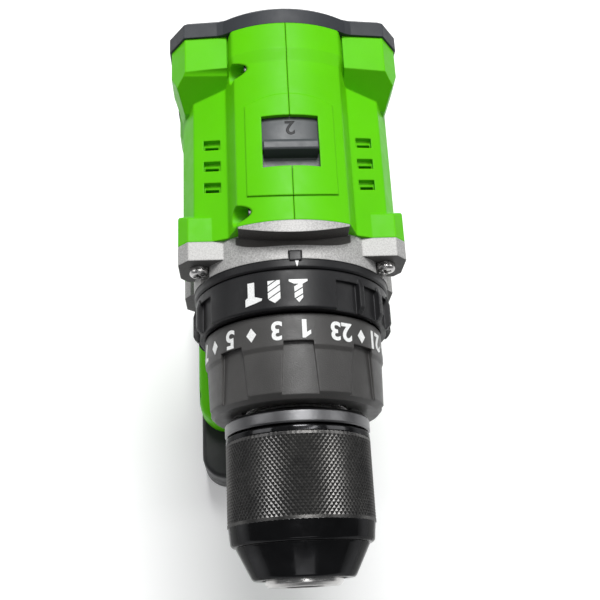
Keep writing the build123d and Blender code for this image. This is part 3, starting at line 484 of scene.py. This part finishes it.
def sleeve_rows():
    """The sleeve's closed outline, with a row of points for each half diamond of the knurl."""
    front = [(11.7, 2.9), (12.6, 2.0), (14.6, 2.0), (15.2, 2.6), (19.5, 10.9), (19.5, 11.3)]
    front += [(20.5, 11.4), (21.1, 12.1), (21.6, 16.6), (SLEEVE_RADIUS, KNURL_FRONT)]
    rear = [(SLEEVE_RADIUS, KNURL_REAR), (21.8, 41.1), (21.8, 42.4), (21.3, 43.0), (18.6, 43.0)]
    inner = [(18.6, 17.0), (17.3, 13.6), (11.7, 3.4)]
    outline = rounded(front + rear + inner, 0.3)
    cut = max(i for i, (r, y) in enumerate(outline) if y <= KNURL_FRONT + 0.01 and r > 21) + 1
    band = [(SLEEVE_RADIUS, KNURL_FRONT + KNURL_STEP * i) for i in range(1, KNURL_ROWS)]
    rest = [(r, y) for r, y in outline[cut:] if r < 21 or y > KNURL_FRONT + KNURL_STEP]
    return outline[:cut] + band + rest


def chuck_sleeve():
    bm = lathe(sleeve_rows(), DIAMONDS * PER_DIAMOND, knurl)
    knurled = [face for face in bm.faces if all(in_band(vertex) for vertex in face.verts)]
    for piece in bmesh.ops.poke(bm, faces=knurled)["faces"]:
        for vertex in piece.verts:
            vertex.tag = len(vertex.link_faces) == 4
    for vertex in bm.verts:
        if vertex.tag and in_band(vertex):
            across = Vector((vertex.co.x, 0, vertex.co.z - AXIS_Z))
            across *= (SLEEVE_RADIUS + VALLEY) * MM / across.length
            vertex.co = (across.x, vertex.co.y, AXIS_Z + across.z)
    sleeve = new_piece("knurled_sleeve", bm, MATERIALS["chuck_black"], "sleeve", smooth=24.0)
    sleeve.data.materials.append(MATERIALS["knurl"].material)
    for face in sleeve.data.polygons:
        y, r = on_sleeve(face.center)
        if KNURL_FRONT < y < KNURL_REAR and r > 20.5:
            face.material_index = 1
            face.use_smooth = False
    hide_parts("chuck_sleeve")


# ---------------------------------------------------------------- printed marks


INK = 0.11  # half the thickness of a printed mark


def wrapped(bm, radius, centre_angle, centre_station):
    """Bends a flat mesh, in millimetres, onto a collar: u turns about the spindle, v runs to the rear."""
    for vertex in bm.verts:
        u, v, w = vertex.co
        angle = math.radians(centre_angle) + u / radius
        reach = (radius + w) * MM
        vertex.co = (reach * math.sin(angle), station(centre_station + v), AXIS_Z + reach * math.cos(angle))


def slab(bm, polygon, low=-INK, high=INK):
    """A flat plate with the polygon as its outline."""
    face = bm.faces.new([bm.verts.new((u, v, low)) for u, v in polygon])
    result = bmesh.ops.extrude_face_region(bm, geom=[face])
    for item in result["geom"]:
        if isinstance(item, bmesh.types.BMVert):
            item.co.z = high


def glyph(text, size, bold=0.018):
    """Upside-down text as a bmesh, centred, so that the person behind the drill can read it."""
    curve = bpy.data.curves.new("glyph", "FONT")
    curve.body = text
    curve.size = size
    curve.align_x = "CENTER"
    curve.align_y = "CENTER"
    curve.extrude = INK
    curve.offset = bold * size
    curve.resolution_u = 6
    holder = bpy.data.objects.new("glyph", curve)
    bpy.context.scene.collection.objects.link(holder)
    bpy.context.view_layer.update()
    mesh = bpy.data.meshes.new_from_object(holder.evaluated_get(bpy.context.evaluated_depsgraph_get()))
    bm = bmesh.new()
    bm.from_mesh(mesh)
    bmesh.ops.remove_doubles(bm, verts=bm.verts, dist=0.002)
    bmesh.ops.rotate(bm, verts=bm.verts, matrix=Matrix.Rotation(math.pi, 3, "Z"))
    bpy.data.objects.remove(holder)
    bpy.data.curves.remove(curve)
    bpy.data.meshes.remove(mesh)
    return bm


def figure_one():
    """A numeral one with a flag, upside down like the other numbers."""
    bm = bmesh.new()
    stem = [(0.55, 2.75), (-0.75, 2.75), (-0.75, -2.75), (0.05, -2.75)]
    stem += [(1.75, -1.55), (1.75, -0.35), (0.55, -1.1)]
    slab(bm, stem)
    return bm


def joined(target, source):
    """Adds one bmesh to another and frees it."""
    mesh = bpy.data.meshes.new("joined")
    source.to_mesh(mesh)
    source.free()
    target.from_mesh(mesh)
    bpy.data.meshes.remove(mesh)


def diamond(width, height):
    bm = bmesh.new()
    slab(bm, [(-width, 0), (0, -height), (width, 0), (0, height)])
    return bm


def torque_scale():
    """Odd numbers from 1 to 23 with a diamond for each setting between them."""
    marks = ["1", "3"]
    for number in range(5, 24, 2):
        marks += ["", str(number)]
    all_marks = bmesh.new()
    for i, mark in enumerate(marks):
        bm = figure_one() if mark == "1" else glyph(mark, 7.6, 0.026) if mark else diamond(1.6, 2.1)
        turn = 4.0 - 16.0 * i - (0.8 if i else 0.0)
        wrapped(bm, 27.62, turn, 68.8 if mark else 68.2)
        joined(all_marks, bm)
    bmesh.ops.recalc_face_normals(all_marks, faces=all_marks.faces)
    new_piece("torque_scale", all_marks, PRINT, "torque_collar")


def clipped(polygon, nx, ny, limit):
    """The part of a convex polygon where nx*u + ny*v is below the limit."""
    out = []
    for i, here in enumerate(polygon):
        before = polygon[i - 1]
        d_here, d_before = nx * here[0] + ny * here[1] - limit, nx * before[0] + ny * before[1] - limit
        if (d_here < 0) != (d_before < 0):
            t = d_before / (d_before - d_here)
            out.append((before[0] + t * (here[0] - before[0]), before[1] + t * (here[1] - before[1])))
        if d_here < 0:
            out.append(here)
    return out


def striped(bm, polygon, edges, gap):
    """A polygon cut into slanting bands, like the flutes of a bit or the turns of a thread."""
    slope = 0.62
    for low, high in zip(edges, edges[1:]):
        band = clipped(clipped(polygon, -slope, 1.0, high - gap / 2), slope, -1.0, -(low + gap / 2))
        if len(band) > 2:
            slab(bm, band)


def mode_icons():
    """Screw, drill bit and hammer, drawn as plain symbols on the mode ring."""
    screw = bmesh.new()
    slab(screw, [(-2.7, 3.4), (-2.7, 2.8), (-1.3, 2.0), (1.3, 2.0), (2.7, 2.8), (2.7, 3.4)])
    shank = [(-1.2, 2.0), (-1.2, -2.2), (0.0, -3.7), (1.2, -2.2), (1.2, 2.0)]
    striped(screw, shank, (-6, -1.9, 0.1, 2.1), 0.42)
    drill = bmesh.new()
    bit = [(-1.8, 3.4), (-1.8, -2.2), (0.2, -3.5), (1.8, -2.2), (1.8, 3.4)]
    striped(drill, bit, (-6, -1.1, 1.0, 3.0, 6), 0.36)
    hammer = bmesh.new()
    slab(hammer, [(-0.9, 3.6), (-0.9, -0.9), (1.2, -0.9), (1.2, 3.6)])
    head = [(-1.7, -3.5), (-0.3, -3.2), (1.2, -2.9), (3.3, -2.3)]
    head += [(3.5, -1.7), (1.3, -0.9), (-1.2, -0.9), (-1.7, -1.4)]
    slab(hammer, head)
    icons = bmesh.new()
    for i, bm in enumerate((screw, drill, hammer)):
        wrapped(bm, 30.42, 1.0 - 13.3 * i, 79.4)
        joined(icons, bm)
    bmesh.ops.recalc_face_normals(icons, faces=icons.faces)
    new_piece("mode_icons", icons, PRINT, "mode_collar")


def pointer():
    mark = bmesh.new()
    slab(mark, [(-0.65, 1.1), (-0.1, -1.0), (0.1, -1.0), (0.65, 1.1)], -INK, 0.10)
    wrapped(mark, 30.85, 0.8, 87.7)
    bmesh.ops.recalc_face_normals(mark, faces=mark.faces)
    new_piece("mode_pointer", mark, PRINT, "drill")


FRONT_PLATE = 33.28  # height of the flat part of the knob's plate, in front of the ridge
CROWN_RADIUS, CROWN_Z = 33.66, 2.15  # the crowned part behind the ridge
RIDGE_STATION = 123.0


def knob_face(x, y):
    """Height of the knob's plate over the spindle's axis."""
    return CROWN_Z + math.sqrt(CROWN_RADIUS**2 - x * x) if y > RIDGE_STATION else FRONT_PLATE


def knob_digits():
    """The gear numbers moulded on the speed knob."""
    digits = bmesh.new()
    for text, place in (("2", 129.7), ("1", 115.0)):
        bm = glyph(text, 6.4, 0.02)
        for vertex in bm.verts:
            u, v, w = vertex.co
            vertex.co = (u * MM, station(place + v), AXIS_Z + (knob_face(u, place) + 0.7 * w) * MM)
        joined(digits, bm)
    bmesh.ops.recalc_face_normals(digits, faces=digits.faces)
    ink = moulded("knob_ink", (0.006, 0.006, 0.007), 0.6, grain=0.00001, edge_wear_and_highlight=1.0)
    new_piece("knob_digits", digits, ink, "speed_slider")


chuck_sleeve()
torque_scale()
mode_icons()
pointer()
knob_digits()


# ---------------------------------------------------------------- stage


def stage_floor():
    bm = bmesh.new()
    bmesh.ops.create_grid(bm, x_segments=1, y_segments=1, size=3.0)
    mesh = bpy.data.meshes.new("floor")
    bm.to_mesh(mesh)
    bm.free()
    floor = bpy.data.objects.new("floor", mesh)
    bpy.context.scene.collection.objects.link(floor)
    s = Shader("pale_floor", (0.94, 0.94, 0.94), 0.7)
    s.tone(s.noise(3.0), (0.93, 0.93, 0.93), (0.95, 0.95, 0.95))
    s.set("Emission Color", (1.0, 1.0, 1.0, 1.0)).set("Emission Strength", 0.2)
    mesh.materials.append(s.material)


def area_light(name, place, aim, size, power):
    data = bpy.data.lights.new(name, "AREA")
    data.shape = "RECTANGLE"
    data.size, data.size_y = size
    data.energy = power
    light = bpy.data.objects.new(name, data)
    bpy.context.scene.collection.objects.link(light)
    light.location = place
    light.rotation_euler = (Vector(aim) - Vector(place)).to_track_quat("-Z", "Y").to_euler()


LIGHTS = [  # name, place, aim, size, power
    ("overhead", (0.03, 0.50, 1.1), (0, 0.0, 0.17), (0.34, 0.34), 10.6),
    ("left_strip", (-0.75, 0.20, 0.60), (0, -0.02, 0.17), (0.25, 0.5), 1.0),
    ("right_strip", (0.75, 0.20, 0.60), (0, -0.02, 0.17), (0.25, 0.5), 1.2),
    ("glint", (0.16, 0.05, 0.95), (0, -0.04, 0.19), (0.05, 0.5), 1.0),
    ("front_fill", (0.0, -1.0, 0.75), (0, 0, 0.12), (0.6, 0.3), 0.5),
]


def studio():
    world = bpy.data.worlds.new("studio")
    world.use_nodes = True
    backdrop = world.node_tree.nodes["Background"]
    backdrop.inputs["Color"].default_value = (0.95, 0.97, 1.0, 1.0)
    backdrop.inputs["Strength"].default_value = 0.18
    bpy.context.scene.world = world
    for light in LIGHTS:
        area_light(*light)
    bpy.context.scene.view_settings.view_transform = "Standard"


CAMERA_PLACE = (-0.0146, -0.0955, 0.4336)
PITCH, YAW, ROLL = math.radians(20.27), math.radians(3.57), math.radians(-1.60)
FOCAL = 869.0 / 600.0 * 36.0


def camera():
    forward = Vector((0, math.sin(PITCH), -math.cos(PITCH)))
    up = Vector((0, math.cos(PITCH), math.sin(PITCH)))
    right = Vector((1, 0, 0))
    ahead = forward * math.cos(YAW) + right * math.sin(YAW)
    across = right * math.cos(YAW) - forward * math.sin(YAW)
    over = up * math.cos(ROLL) - across * math.sin(ROLL)
    across = across * math.cos(ROLL) + up * math.sin(ROLL)
    data = bpy.data.cameras.new("camera")
    data.lens = FOCAL
    data.sensor_width = 36.0
    data.clip_start = 0.01
    view = bpy.data.objects.new("camera", data)
    bpy.context.scene.collection.objects.link(view)
    turn = Matrix((across, over, -ahead)).transposed()
    view.matrix_world = Matrix.Translation(CAMERA_PLACE) @ turn.to_4x4()
    bpy.context.scene.camera = view


stage_floor()
studio()
camera()
